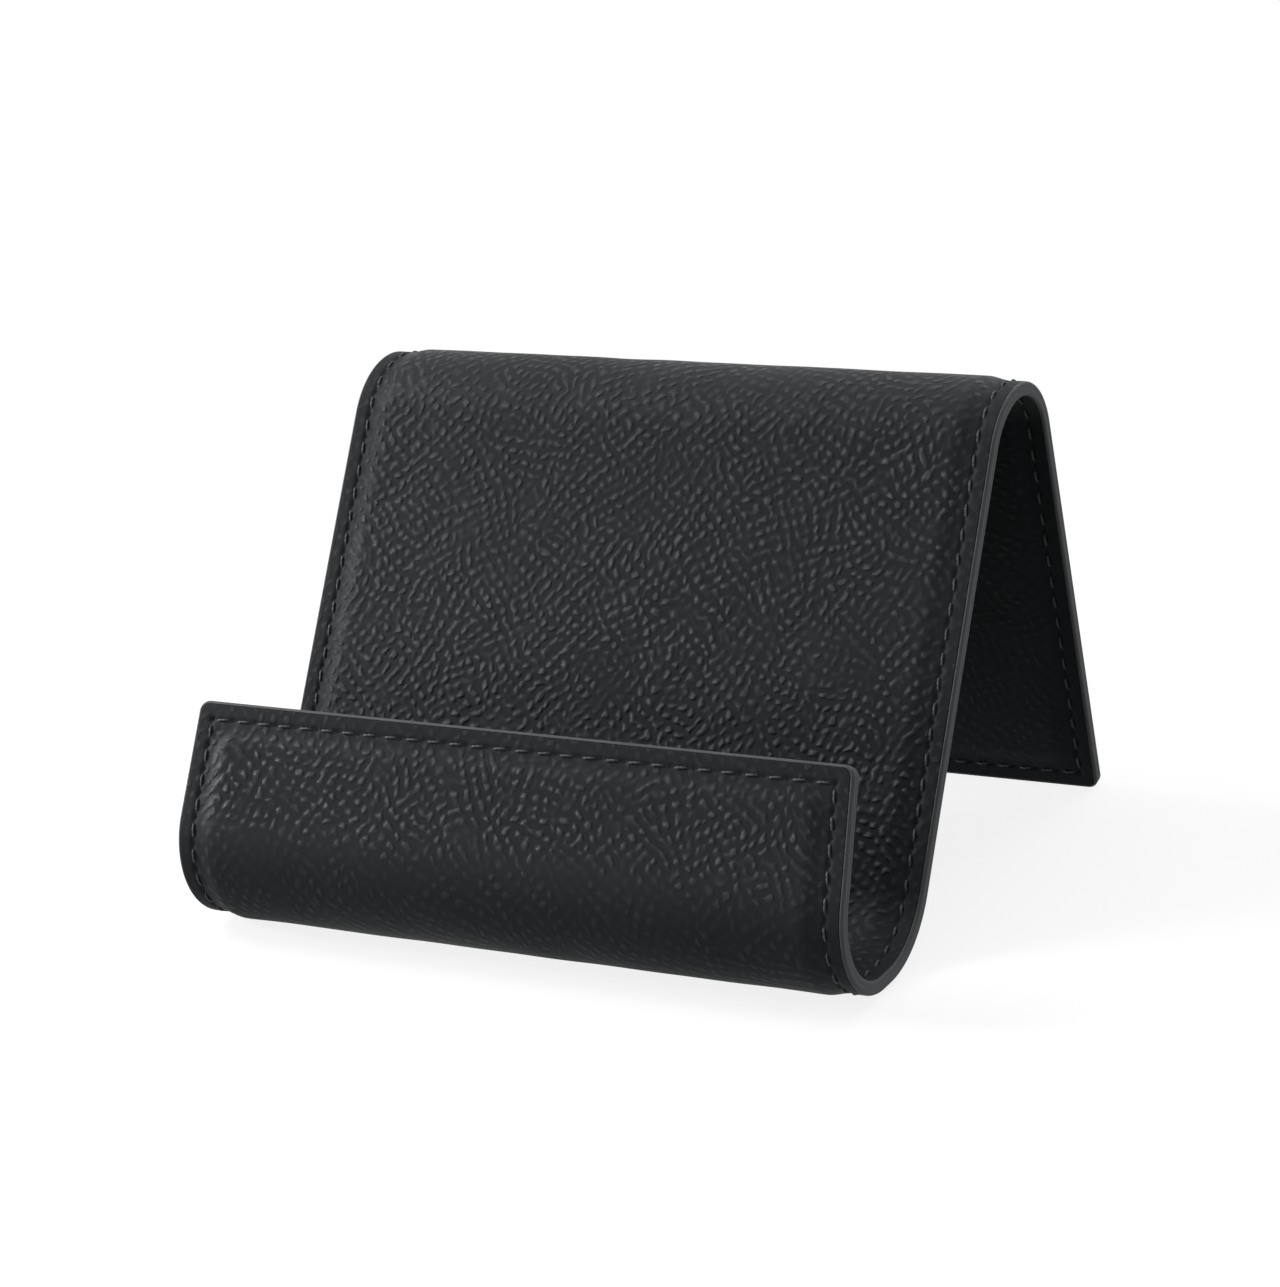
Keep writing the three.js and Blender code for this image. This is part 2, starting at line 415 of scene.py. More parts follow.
# %% Black grained leather
# Darker valleys and lighter pebbles: partly the hide's tone, partly painted shade and highlight.
VALLEY_TONE_AND_SHADE = (0.0092, 0.0101, 0.0109)
PEBBLE_TONE_AND_HIGHLIGHT = (0.0360, 0.0385, 0.0409)
LEATHER_SHINE = 0.08
LEATHER_SHINE_TINT = (0.88, 0.94, 1.0, 1)
PRESSED_ROUGHNESS = 0.68
GRAIN_GLOSS, PEBBLE_GLOSS = 0.18, 0.1
PORE_GLOSS, DRESSING_GLOSS = 0.1, 0.3
DRESSING_SCALE = 0.03


def leather_finish():
    look = coat("black_grained_leather")
    uv = look.node("ShaderNodeUVMap", {"uv_map": "strip"}).outputs[0]
    in_mm = {0: uv, "Scale": float(MAP_UNIT)}
    place = look.node("ShaderNodeVectorMath", {"operation": "SCALE"}, in_mm).outputs[0]

    def noise(scale, detail=1.0, rough=0.5, output=0):
        given = {"Vector": place, "Scale": scale, "Detail": detail, "Roughness": rough}
        return look.value("ShaderNodeTexNoise", {"noise_dimensions": "2D"}, given, output)

    shift = {0: noise(SHIFT_SCALE, output=1), 1: (SHIFT, SHIFT, 0), 2: place}
    shifted = look.node("ShaderNodeVectorMath", {"operation": "MULTIPLY_ADD"}, shift).outputs[0]

    def stripes(direction, contrast):
        given = {
            "Vector": shifted,
            "Scale": GRAIN_SCALE,
            "Frequency": GRAIN_FREQUENCY,
            "Anisotropy": GRAIN_ORDER,
            "Orientation": direction,
        }
        pattern = look.value("ShaderNodeTexGabor", {"gabor_type": "2D"}, given)
        return ((pattern - 0.5) * contrast + 0.5).smooth(0.0, 1.0)

    # The rows turn slowly over the hide, and the breaks across them turn a little faster.
    flow = noise(ROW_SCALE) * ROW_SWING - ROW_START
    across = flow + (noise(BREAK_SCALE) - 0.5) * BREAK_SWING + math.pi / 2
    # A pebble stands where a row crosses the space between two breaks.
    crossed = stripes(flow, ROW_CONTRAST) * stripes(across, BREAK_CONTRAST)
    raised = crossed.smooth(*PEBBLE_SLOPE)
    # The pebbles fade in patches, and where the hide was pressed.
    strong = noise(PATCH_SCALE).smooth(*PATCH_SLOPE) * (1 - PATCH_LEAST) + PATCH_LEAST
    relief = look.value("ShaderNodeAttribute", {"attribute_name": "relief"}, None, 2)
    standing = raised * relief * strong
    pores = noise(PORE_SCALE, PORE_DETAIL, PORE_ROUGHNESS)
    height = standing * PEBBLE_HEIGHT + pores * PORE_HEIGHT
    bump = look.node("ShaderNodeBump", None, {"Strength": 1.0, "Distance": MM, "Height": height})
    # Pressed hide is duller, worn tops shine a little, and the dressing lies unevenly.
    rough = PRESSED_ROUGHNESS - relief * GRAIN_GLOSS - standing * PEBBLE_GLOSS
    patchy = (pores - 0.5) * PORE_GLOSS + (noise(DRESSING_SCALE) - 0.5) * DRESSING_GLOSS
    # The base colour paints shade into the valleys and a highlight onto the pebbles, over their
    # tone.
    return shaded(
        look,
        {
            "Base Color": look.blend(standing, VALLEY_TONE_AND_SHADE, PEBBLE_TONE_AND_HIGHLIGHT),
            "Roughness": rough + patchy,
            "Normal": bump.outputs[0],
            "Specular IOR Level": LEATHER_SHINE,
            "Specular Tint": LEATHER_SHINE_TINT,
        },
    )


LEATHER = leather_finish()

# %% [markdown]
# ## Thread, edge paint and the hidden layers
# The thread is waxed and black. The rim paint is matt and a little lighter than the hide, and
# uneven because it is brushed on by hand. The plate and the linings are sealed inside, and get
# plain but true finishes. Each could be wired by itself, but all four follow one recipe, soft
# blotches and a fine uneven surface. So one function makes them, and only the values differ.

# %% Finishes of the small parts
BLOTCH_DETAIL, FINE_DETAIL = 4.0, 2.0
BLOTCH_SLOPE = (0.3, 0.7)
FINE_PER_BLOTCH = 6


def simple_finish(name, dark, light, rough, spread, scale, depth, shine=0.5):
    """A finish with soft blotches between two colours and a fine uneven surface."""
    look = coat(name)
    place = look.node("ShaderNodeTexCoord").outputs["Object"]

    def noise(density, detail):
        given = {"Vector": place, "Scale": density, "Detail": detail}
        return look.value("ShaderNodeTexNoise", None, given)

    blotch = noise(scale, BLOTCH_DETAIL)
    uneven = noise(scale * FINE_PER_BLOTCH, FINE_DETAIL)
    fine = {"Strength": 1.0, "Distance": depth * MM, "Height": uneven}
    return shaded(
        look,
        {
            "Base Color": look.blend(blotch.smooth(*BLOTCH_SLOPE), dark, light),
            "Roughness": rough + (blotch - 0.5) * spread,
            "Normal": look.node("ShaderNodeBump", None, fine).outputs[0],
            "Specular IOR Level": shine,
        },
    )


THREAD = simple_finish(
    "black_waxed_thread",
    dark=(0.025, 0.027, 0.029),
    light=(0.038, 0.041, 0.043),
    rough=0.55,
    spread=0.2,
    scale=900,
    depth=0.03,
    shine=0.3,
)
EDGE_PAINT = simple_finish(
    "grey_black_edge_paint",
    dark=(0.027, 0.029, 0.031),
    light=(0.037, 0.039, 0.042),
    rough=0.62,
    spread=0.1,
    scale=300,
    depth=0.02,
    shine=0.3,
)
STEEL = simple_finish(
    "plain_steel_sheet",
    dark=(0.28, 0.29, 0.30),
    light=(0.38, 0.39, 0.40),
    rough=0.4,
    spread=0.1,
    scale=200,
    depth=0.01,
)
LINING = simple_finish(
    "pale_interlining",
    dark=(0.42, 0.38, 0.32),
    light=(0.55, 0.51, 0.44),
    rough=0.9,
    spread=0.1,
    scale=800,
    depth=0.05,
)

# %% Dress the layers inside
HIDDEN_LAYERS = {"core_plate": STEEL, "interlining_front": LINING, "interlining_back": LINING}
for name, finish in HIDDEN_LAYERS.items():
    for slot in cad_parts[name].material_slots:
        slot.material = finish
    print(f"{name} wears {finish.name}")

# %% [markdown]
# ## The seam's layout
# The seam runs 2.5 mm inside the rim, in four straight runs on the flat: lip, two sides, leg. The
# stitches could be spread over the whole way round, but a hand or a machine turns in a hole at each
# corner. So each run has a whole number of stitches, and a needle hole lies in every corner. The
# sheets are dented at the same holes, and so the layout is worked out once, before both.

# %% Needle holes
STITCH_PITCH = 3.4


def seam_runs():
    """The four runs of the seam on the flat, each as its start and end in millimetres."""
    side = WIDTH / 2 - STITCH_INSET
    near, far = STITCH_INSET, STRIP_LENGTH - STITCH_INSET
    corners = [(-side, near), (side, near), (side, far), (-side, far)]
    return list(zip(corners, corners[1:] + corners[:1]))


def needle_holes():
    """The places of all holes, run by run."""
    holes = []
    for start, end in seam_runs():
        start, end = np.array(start), np.array(end)
        count = round(np.linalg.norm(end - start) / STITCH_PITCH)
        holes.append(start + (end - start) * (np.arange(count) / count)[:, None])
    return np.concatenate(holes)


HOLES = needle_holes()
print(f"{len(HOLES)} needle holes")

# %% [markdown]
# ## The face of the leather
# Each sheet lies on the core and drops over a soft shoulder to its sewn margin. A cloth simulation
# could lay a sheet over the core, but glued and pressed leather takes the shape of what is under
# it, so the form is worked out: a shoulder, a pulled-in seam, a dent at each needle hole and slow
# waves. The waves only lower the face, so that nothing bulges past the solid or below the desk.

# %% Height of the face
PADDING_CORNER = 7.0
SEAM_DEPTH, SEAM_WIDTH = 0.13, 0.35
HOLE_DEPTH, HOLE_WIDTH = 0.30, 0.38
HOLE_REACH = 1.2
WAVE_COUNT = 14
WAVE_LENGTHS = (7, 26)
WAVE_SHARE = 0.25
WAVE_HEIGHT = 0.04
FRONT_SEED, BACK_SEED = 11, 23


def smoothstep(value, low, high):
    t = np.clip((value - low) / (high - low), 0, 1)
    return t * t * (3 - 2 * t)


def insets(x, y):
    """Distances in from the strip's nearer side and from its nearer end."""
    return WIDTH / 2 - np.abs(x), np.minimum(y, STRIP_LENGTH - y)


def padded(x, y):
    """0 on the sewn margin and 1 over the core, with a soft shoulder between, round at corners."""
    dx, dy = insets(x, y)
    a, b = PADDING_CORNER - dx, PADDING_CORNER - dy
    round_part = PADDING_CORNER - np.hypot(np.maximum(a, 0), np.maximum(b, 0))
    inset = np.where((a > 0) & (b > 0), round_part, np.minimum(dx, dy))
    return smoothstep(inset, SHOULDER_START, SHOULDER_START + SHOULDER_WIDTH)


def slow_waves(x, y, seed):
    """Slow unevenness of a hide, mostly between -1 and 1."""
    rng = np.random.default_rng(seed)
    total = np.zeros_like(x)
    for _ in range(WAVE_COUNT):
        angle, phase = rng.uniform(0, math.pi), rng.uniform(0, 2 * math.pi)
        length = rng.uniform(*WAVE_LENGTHS)
        total += np.sin(2 * math.pi * (x * math.cos(angle) + y * math.sin(angle)) / length + phase)
    return total * WAVE_SHARE


def face_height(x, y, seed):
    """Height of the sheet's outer face over the strip's middle surface."""
    rise = padded(x, y)
    height = EDGE_HALF + SHOULDER_RISE * rise
    from_seam = np.abs(np.minimum(*insets(x, y)) - STITCH_INSET)
    height -= SEAM_DEPTH * np.exp(-((from_seam / SEAM_WIDTH) ** 2))
    near = from_seam < HOLE_REACH
    near_x, near_y = x[near], y[near]
    from_hole = np.full(near_x.shape, np.inf)
    for hole in HOLES:
        from_hole = np.minimum(from_hole, np.hypot(near_x - hole[0], near_y - hole[1]))
    height[near] -= HOLE_DEPTH * np.exp(-((from_hole / HOLE_WIDTH) ** 2))
    return height + WAVE_HEIGHT * np.minimum(slow_waves(x, y, seed) - 1, 0) * rise


middle = face_height(np.array([0.0]), np.array([STRIP_LENGTH / 2]), FRONT_SEED)[0]
print(f"the front face stands {middle:.2f} mm over the middle surface at the strip's centre")

# %% [markdown]
# ## The grid of the leather
# A sheet is a closed body: a fine outer face, a rounded rim under the paint, and a plain underside.
# An even grid would need to be fine everywhere to show the seam. So the rows and columns are set
# close together at the rim and the seam, and wider over the rest. The underside is hidden, and only
# a few wide columns close it.

# %% Rows and columns of a sheet
FIELD_STEP = 0.56
LEDGE = 0.04
MARGIN = [0.65, 0.85, 1.1, 1.35, 1.6, 1.85, 2.05, 2.2, 2.35, 2.5, 2.65, 2.8, 2.95]
MARGIN += [3.15, 3.4, 3.7, 4.05, 4.4, 4.8, 5.2, 5.6, 6.0]
UNDERSIDE_INSETS = (2.95, 4.4, 6.0)


def rim_levels():
    """The sheet's edge under the paint, as insets and heights from its lowest point up."""
    under_paint = PAINT_THICKNESS + GLUE_LINE
    radius = RIM_CORNER_RADIUS - under_paint
    levels = [(under_paint, GLUE_LINE / 2)]
    for turn in np.radians([0, 45, 90]):
        inset = RIM_CORNER_RADIUS - radius * math.cos(turn)
        levels.append((inset, EDGE_HALF - RIM_CORNER_RADIUS + radius * math.sin(turn)))
    wall = RIM_CORNER_RADIUS + GLUE_LINE
    for inset, drop in ((wall, under_paint), (wall, LEDGE), (wall + LEDGE, 0)):
        levels.append((inset, EDGE_HALF - drop))
    return levels


def places_along(total):
    """Places of rows or columns: close together at the rim and seam, wider between."""
    edge = np.array([inset for inset, _ in rim_levels()] + MARGIN)
    last = MARGIN[-1]
    steps = round((total - 2 * last) / FIELD_STEP)
    field = np.linspace(last, total - last, steps + 1)[1:-1]
    return np.concatenate([edge, field, (total - edge)[::-1]])


print(f"{len(places_along(WIDTH))} columns and {len(places_along(STRIP_LENGTH))} rows to a sheet")

# %% Corners and underside
def with_round_corners(x, y):
    """Turns the sheet's square corners round, without moving anything else."""
    dx, dy = insets(x, y)
    a, b = CORNER_RADIUS - dx, CORNER_RADIUS - dy
    inside = (a > 0) & (b > 0)
    scale = np.where(inside, np.maximum(a, b) / np.maximum(np.hypot(a, b), 1e-9), 1.0)
    new_x = np.sign(x) * (WIDTH / 2 - CORNER_RADIUS + a * scale)
    from_end = CORNER_RADIUS - b * scale
    new_y = np.where(y < STRIP_LENGTH / 2, from_end, STRIP_LENGTH - from_end)
    return np.where(inside, new_x, x), np.where(inside, new_y, y)


def underside(x, y, index, side):
    """The hidden face: a few wide columns, zipped to every vertex of the outer face's edge."""
    m, n = index.shape
    inner = [len(rim_levels()) + MARGIN.index(inset) for inset in UNDERSIDE_INSETS]
    cut = [0, *inner, *(n - 1 - column for column in reversed(inner)), n - 1]
    spans = list(zip(cut[:-1], cut[1:]))
    low = GLUE_LINE / 2 + SHOULDER_RISE * padded(x, y)
    points, place = [], {}
    for r in range(1, m - 1):
        for c in cut[1:-1]:
            place[r, c] = index.size + len(points)
            points.append((x[r, c], y[r, c], low[r, c] * side))
    for r in range(m):
        place[r, 0], place[r, n - 1] = int(index[r, 0]), int(index[r, n - 1])
    faces = []
    for r in range(1, m - 2):
        for a, b in spans:
            faces.append([place[r, a], place[r + 1, a], place[r + 1, b], place[r, b]])
    for edge_row, near_row, turn in ((0, 1, 1), (m - 1, m - 2, -1)):
        edge = index[edge_row].tolist()
        for a, b in spans:
            left, right, half = place[near_row, a], place[near_row, b], (a + b) // 2
            part = [[edge[c], left, edge[c + 1]] for c in range(a, half)]
            part.append([edge[half], left, right])
            part += [[edge[c], right, edge[c + 1]] for c in range(half, b)]
            faces += [face[::turn] for face in part]
    return np.array(points), faces

# %% [markdown]
# ## The map and the grain's strength
# The grain is drawn on the flat, so each sheet carries a flat map of itself, on which 1 stands for
# 200 mm. Grain that was read in space would be cut through at the bends. A hide also loses grain
# where it is pressed, at the sewn margin. On the back sheet the grain fades from the channel on, so
# that the hide looks smooth there and its colour darkens: painted shade under the channel and
# inside the arch. An attribute on the mesh says how strongly the grain stands.

# %% Map and relief
RELIEF_AT_RIM = 0.3
RELIEF_INSETS = (2.6, 5.0)
BACK_FLATTENING_AND_SHADE = 0.65
CHANNEL_BLEND = 3


def add_strip_map(mesh, points, side):
    """A map that follows the strip. The back is mirrored, as a turned hide is."""
    uv = np.stack([side * points[:, 0] / MAP_UNIT + 0.5, points[:, 1] / MAP_UNIT], axis=1)
    corners = np.empty(len(mesh.loops), dtype=int)
    mesh.loops.foreach_get("vertex_index", corners)
    layer = mesh.uv_layers.new(name="strip")
    layer.data.foreach_set("uv", uv[corners].ravel())


def add_relief(mesh, points, side):
    """How strongly the grain stands, as a number on each vertex."""
    inset = np.minimum(*insets(points[:, 0], points[:, 1]))
    strength = RELIEF_AT_RIM + (1 - RELIEF_AT_RIM) * smoothstep(inset, *RELIEF_INSETS)
    # On the back sheet from the channel on, the grain fades and the colour darkens: painted shade.
    if side < 0:
        blend = (CHANNEL_START - CHANNEL_BLEND, CHANNEL_START + CHANNEL_BLEND)
        strength = strength * (1 - BACK_FLATTENING_AND_SHADE * smoothstep(points[:, 1], *blend))
    layer = mesh.attributes.new("relief", "FLOAT", "POINT")
    layer.data.foreach_set("value", strength.astype(np.float32))

# %% Both leather sheets
def flat_piece(name, points, edges, faces):
    """A piece on the flat, from points in millimetres."""
    mesh = bpy.data.meshes.new(name)
    mesh.from_pydata((np.asarray(points) * MM).tolist(), edges, faces)
    return in_scene(name, mesh)


def flat_sheet(name, side, seed):
    """A leather sheet on the flat. Side 1 is the strip's front, and -1 its back."""
    x, y = np.meshgrid(places_along(WIDTH) - WIDTH / 2, places_along(STRIP_LENGTH))
    m, n = x.shape
    z = face_height(x, y, seed)
    row, column = np.indices((m, n))
    level = np.minimum.reduce([row, m - 1 - row, column, n - 1 - column])
    for k, (_, height) in enumerate(rim_levels()):
        z[level == k] = height
    x, y = with_round_corners(x, y)
    index = np.arange(m * n).reshape(m, n)
    ring = [index[:-1, :-1], index[:-1, 1:], index[1:, 1:], index[1:, :-1]]
    quads = np.stack(ring, axis=-1).reshape(-1, 4).tolist()
    under_points, under_faces = underside(x, y, index, side)
    points = np.concatenate([np.stack([x, y, z * side], axis=-1).reshape(-1, 3), under_points])
    obj = flat_piece(name, points, [], [face[::side] for face in quads + under_faces])
    add_strip_map(obj.data, points, side)
    add_relief(obj.data, points, side)
    obj.data.shade_smooth()
    return obj


front_sheet = flat_sheet("leather_front", 1, FRONT_SEED)
back_sheet = flat_sheet("leather_back", -1, BACK_SEED)
for sheet, node in ((front_sheet, "cover_front"), (back_sheet, "cover_back")):
    bent(sheet, LEATHER)
    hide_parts(node)
    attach(sheet, "root")

# %% [markdown]
# ## The stitches
# Each stitch is a short twisted thread that comes out of one hole, arches a little over the leather
# and goes down the next. One stitch could be modelled and copied by hand, but hundreds of them
# follow the seam, so Geometry Nodes lay them: every run is cut into half stitches, and a stitch is
# set on each odd point. They are sewn on the flat and bent with the strip.

# %% One stitch
STITCH_POINTS = 9
STRANDS = 3
STRAND_DEPTH = 0.8


def one_stitch(tree, pitch, diameter, share, rise, dip):
    """A single thread along X: an arch whose ends dip steeply, with a twist of a full turn."""
    line = tree.node("GeometryNodeCurvePrimitiveLine")
    count = {"Curve": line.outputs[0], "Count": STITCH_POINTS}
    line = tree.node("GeometryNodeResampleCurve", {"mode": "COUNT"}, count)
    factor = tree.node("GeometryNodeSplineParameter").outputs["Factor"]
    centred = tree.number("MULTIPLY_ADD", factor, 2.0, -1.0)
    fourth = tree.number("POWER", tree.number("ABSOLUTE", centred), 4.0)
    arch = tree.number("SUBTRACT", rise, tree.number("MULTIPLY", fourth, dip))
    half = tree.number("MULTIPLY", centred, 0.5)
    reach = tree.number("MULTIPLY", half, tree.number("MULTIPLY", pitch, share))
    place = tree.node("ShaderNodeCombineXYZ", None, {0: reach, 2: arch})
    placed = {"Geometry": line.outputs[0], "Position": place.outputs[0]}
    line = tree.node("GeometryNodeSetPosition", None, placed)
    tilt = {"Curve": line.outputs[0], "Tilt": tree.number("MULTIPLY", factor, 2 * math.pi)}
    line = tree.node("GeometryNodeSetCurveTilt", None, tilt)
    radius = tree.number("MULTIPLY", diameter, 0.5)
    inner = tree.number("MULTIPLY", radius, STRAND_DEPTH)
    star = {"Points": STRANDS, "Outer Radius": radius, "Inner Radius": inner}
    strands = tree.node("GeometryNodeCurveStar", None, star)
    swept = {"Curve": line.outputs[0], "Profile Curve": strands.outputs[0], "Fill Caps": True}
    return tree.node("GeometryNodeCurveToMesh", None, swept).outputs[0]

# %% The sewing tree
LEAN_LEAST, LEAN_MOST = 0.6, 1.4


def stitch_turn(tree, slant, turn_over, seed):
    """Which way a stitch lies: along its run, on its side of the strip, and leaning a little."""
    along = {"Vector": tree.node("GeometryNodeInputTangent").outputs[0]}
    settings = {"axis": "X", "pivot_axis": "Z"}
    turned = tree.node("FunctionNodeAlignRotationToVector", settings, along)
    chance = {2: LEAN_LEAST, 3: LEAN_MOST, "Seed": seed}
    chance = tree.node("FunctionNodeRandomValue", {"data_type": "FLOAT"}, chance).outputs[1]
    lean = tree.number("MULTIPLY", slant, chance)
    for axis, angle in (((1, 0, 0), turn_over), ((0, 0, 1), lean)):
        step = tree.node("FunctionNodeAxisAngleToRotation", None, {"Axis": axis, "Angle": angle})
        both = {"Rotation": turned.outputs[0], "Rotate By": step.outputs[0]}
        turned = tree.node("FunctionNodeRotateRotation", {"rotation_space": "LOCAL"}, both)
    return turned.outputs[0]


def sewing_tree():
    tree = Tree("sew_along_runs")
    sizes = ("Stitch Pitch", "Thread Diameter", "Stitch Share", "Arch Rise", "End Dip")
    pitch, diameter, share, rise, dip = (tree.given(name, "Float") for name in sizes)
    slant = tree.given("Slant", "Float")
    turn_over = tree.given("Turn Over", "Float")
    seed = tree.given("Seed", "Int")
    finish = tree.given("Finish", "Material")
    runs = tree.node("GeometryNodeMeshToCurve", None, {"Mesh": tree.entry.outputs[0]})
    length = tree.node("GeometryNodeSplineLength").outputs["Length"]
    count = tree.number("ROUND", tree.number("DIVIDE", length, pitch))
    halves = tree.number("ADD", tree.number("MULTIPLY", count, 2.0), 1.0)
    given = {"Curve": runs.outputs[0], "Count": halves}
    points = tree.node("GeometryNodeResampleCurve", {"mode": "COUNT"}, given)
    order = tree.node("GeometryNodeSplineParameter").outputs["Index"]
    stretch = tree.number("DIVIDE", tree.number("DIVIDE", length, count), pitch)
    scale = tree.node("ShaderNodeCombineXYZ", None, {0: stretch, 1: 1.0, 2: 1.0})
    sewn = tree.node(
        "GeometryNodeInstanceOnPoints",
        None,
        {
            "Points": points.outputs[0],
            "Selection": tree.number("MODULO", order, 2.0),
            "Instance": one_stitch(tree, pitch, diameter, share, rise, dip),
            "Rotation": stitch_turn(tree, slant, turn_over, seed),
            "Scale": scale.outputs[0],
        },
    )
    return tree.finish(sewn.outputs[0], finish)


SEW = sewing_tree()

# %% Both runs of stitches
THREAD_DIAMETER = 0.4
STITCH_SHARE = 0.55
ARCH_RISE = 0.04
END_DIP = 0.4
FRONT_SLANT, BACK_SLANT = 7, 4
SLANT_SEED = 5


def seam_lines(name, out):
    """The seam's four runs as loose edges on the flat, at a height over the middle surface."""
    points = [(*end, out) for run in seam_runs() for end in run]
    return flat_piece(name, points, [(k, k + 1) for k in range(0, len(points), 2)], [])


def sew(name, side, node, slant):
    """One side's stitches, sewn on the flat and bent with the strip."""
    obj = seam_lines(name, side * EDGE_HALF)
    values = {
        "Stitch Pitch": STITCH_PITCH * MM,
        "Thread Diameter": THREAD_DIAMETER * MM,
        "Stitch Share": STITCH_SHARE,
        "Arch Rise": ARCH_RISE * MM,
        "End Dip": END_DIP * MM,
        "Slant": math.radians(slant),
        "Turn Over": 0.0 if side > 0 else math.pi,
        "Seed": SLANT_SEED,
        "Finish": THREAD,
    }
    made_by(obj, SEW, values)
    bent(obj, THREAD)
    obj.data.shade_smooth()
    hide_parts(node)
    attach(obj, "root")


sew("stitches_front", 1, "needle_thread", FRONT_SLANT)
sew("stitches_back", -1, "bobbin_thread", BACK_SLANT)

# %% [markdown]
# ## The painted rim
# The two leathers are trimmed together and painted. The cut stays flat, and only its two corners
# are rounded. Paint covers the joint, but a faint line stays where the sheets meet. The rim could
# be a bevelled curve round the bent outline, but then its cut might twist on the way. So the cut is
# swept round the outline on the flat, as a closed ring, and bent with the rest.

# %% Outline of the strip and cut of the paint
RIM_STEP = 0.5
RIM_CORNER_STEPS = 8
CUT_POINTS = 8
JOINT_DEPTH = 0.03
JOINT_WIDTH = 0.09


def outline_points():
    """Points round the strip's outline with their inward directions."""
    side, corner, far = WIDTH / 2, CORNER_RADIUS, STRIP_LENGTH
    places, inward = [], []

    def straight(start, end, direction):
        start, end = np.array(start, float), np.array(end, float)
        steps = max(1, round(np.linalg.norm(end - start) / RIM_STEP))
        for k in range(steps):
            places.append(start + (end - start) * k / steps)
            inward.append(direction)

    def round_corner(centre, first_angle):
        for k in range(RIM_CORNER_STEPS):
            angle = math.radians(first_angle + 90 * k / RIM_CORNER_STEPS)
            direction = np.array([math.cos(angle), math.sin(angle)])
            places.append(np.array(centre) + corner * direction)
            inward.append(-direction)

    straight((side, corner), (side, far - corner), (-1, 0))
    round_corner((side - corner, far - corner), 0)
    straight((side - corner, far), (-side + corner, far), (0, -1))
    round_corner((-side + corner, far - corner), 90)
    straight((-side, far - corner), (-side, corner), (1, 0))
    round_corner((-side + corner, corner), 180)
    straight((-side + corner, 0), (side - corner, 0), (0, 1))
    round_corner((side - corner, corner), 270)
    return np.array(places), np.array(inward, float)


def rim_cut():
    """The paint's cut across the rim, as insets and heights, all the way round it."""
    flat = EDGE_HALF - RIM_CORNER_RADIUS
    half = []
    for out in np.linspace(0, flat, CUT_POINTS):
        half.append((JOINT_DEPTH * math.exp(-((out / JOINT_WIDTH) ** 2)), out))
    inner = RIM_CORNER_RADIUS - PAINT_THICKNESS
    for radius, turns in ((RIM_CORNER_RADIUS, [18, 36, 54, 72, 90]), (inner, [90, 45, 0])):
        for turn in np.radians(turns):
            inset = RIM_CORNER_RADIUS - radius * math.cos(turn)
            half.append((inset, flat + radius * math.sin(turn)))
    other = [(inset, -out) for inset, out in half[:0:-1]]
    return np.array(other + half)

# %% Painted rim
def flat_rim(name):
    """The rim on the flat: the cut, repeated round the outline and joined into a ring."""
    places, inward = outline_points()
    cut = rim_cut()
    count, sides = len(places), len(cut)
    points = np.zeros((count, sides, 3))
    points[:, :, :2] = places[:, None, :] + inward[:, None, :] * cut[None, :, 0:1]
    points[:, :, 2] = cut[None, :, 1]
    index = np.arange(count * sides).reshape(count, sides)
    ahead, beside = np.roll(index, -1, axis=0), np.roll(index, -1, axis=1)
    both = np.roll(ahead, -1, axis=1)
    faces = np.stack([index, ahead, both, beside], axis=-1).reshape(-1, 4)
    obj = flat_piece(name, points.reshape(-1, 3), [], faces.tolist())
    obj.data.shade_smooth()
    return obj


rim = bent(flat_rim("painted_rim"), EDGE_PAINT)
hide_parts("edge_paint")
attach(rim, "root")
bpy.data.objects.remove(side_object)

# %% [markdown]
# ## Ground and world
# The photograph has a plain white ground. Strong light would whiten a grey floor, but it would wash
# out the black leather too. So floor and world are white only where they are seen, and weak where
# they light the holder. The floor is partly a plain white surface near the holder, and so it keeps
# a light shadow, and it turns to pure white further out.

# %% Floor and world
FLOOR_HALF = 15
GLOW_NEAR = 0.84
GLOW_GROWS = (0.1, 0.28)
SEEN_FLOOR = (0.95, 0.95, 0.95, 1)
LIT_FLOOR = (0.18, 0.18, 0.18, 1)
WHITE = (1, 1, 1, 1)
WORLD_COLOUR = (0.95, 0.975, 1.0, 1)
WORLD_LIGHT = 0.18


def seen_directly(look):
    """1 for a camera, glossy or transmission ray, and 0 for a ray that only carries light."""
    paths = look.node("ShaderNodeLightPath").outputs
    kinds = ("Is Camera Ray", "Is Glossy Ray", "Is Transmission Ray")
    camera, glossy, through = (Value(look, paths[kind]) for kind in kinds)
    return (camera + glossy + through).step("MINIMUM", 1.0)


def white_ground():
    look = coat("white_ground")
    place = look.node("ShaderNodeTexCoord").outputs["Object"]
    away = look.value("ShaderNodeVectorMath", {"operation": "LENGTH"}, {0: place}, 1)
    glowing = away.smooth(*GLOW_GROWS) * (1 - GLOW_NEAR) + GLOW_NEAR
    white = look.node("ShaderNodeBsdfDiffuse", None, {"Color": SEEN_FLOOR})
    glow = look.node("ShaderNodeEmission", None, {"Color": WHITE, "Strength": 1.0})
    pale = look.node("ShaderNodeBsdfDiffuse", None, {"Color": LIT_FLOOR})
    shown = look.mixed(glowing, white, glow)
    return look.ends_in("ShaderNodeOutputMaterial", look.mixed(seen_directly(look), pale, shown))


def studio_world():
    """White where it is seen, and a weak even light elsewhere."""
    look = Look(bpy.data.worlds.new("studio"))
    weak = {"Color": WORLD_COLOUR, "Strength": WORLD_LIGHT}
    faint = look.node("ShaderNodeBackground", None, weak)
    white = look.node("ShaderNodeBackground", None, {"Color": WHITE, "Strength": 1.0})
    return look.ends_in("ShaderNodeOutputWorld", look.mixed(seen_directly(look), faint, white))


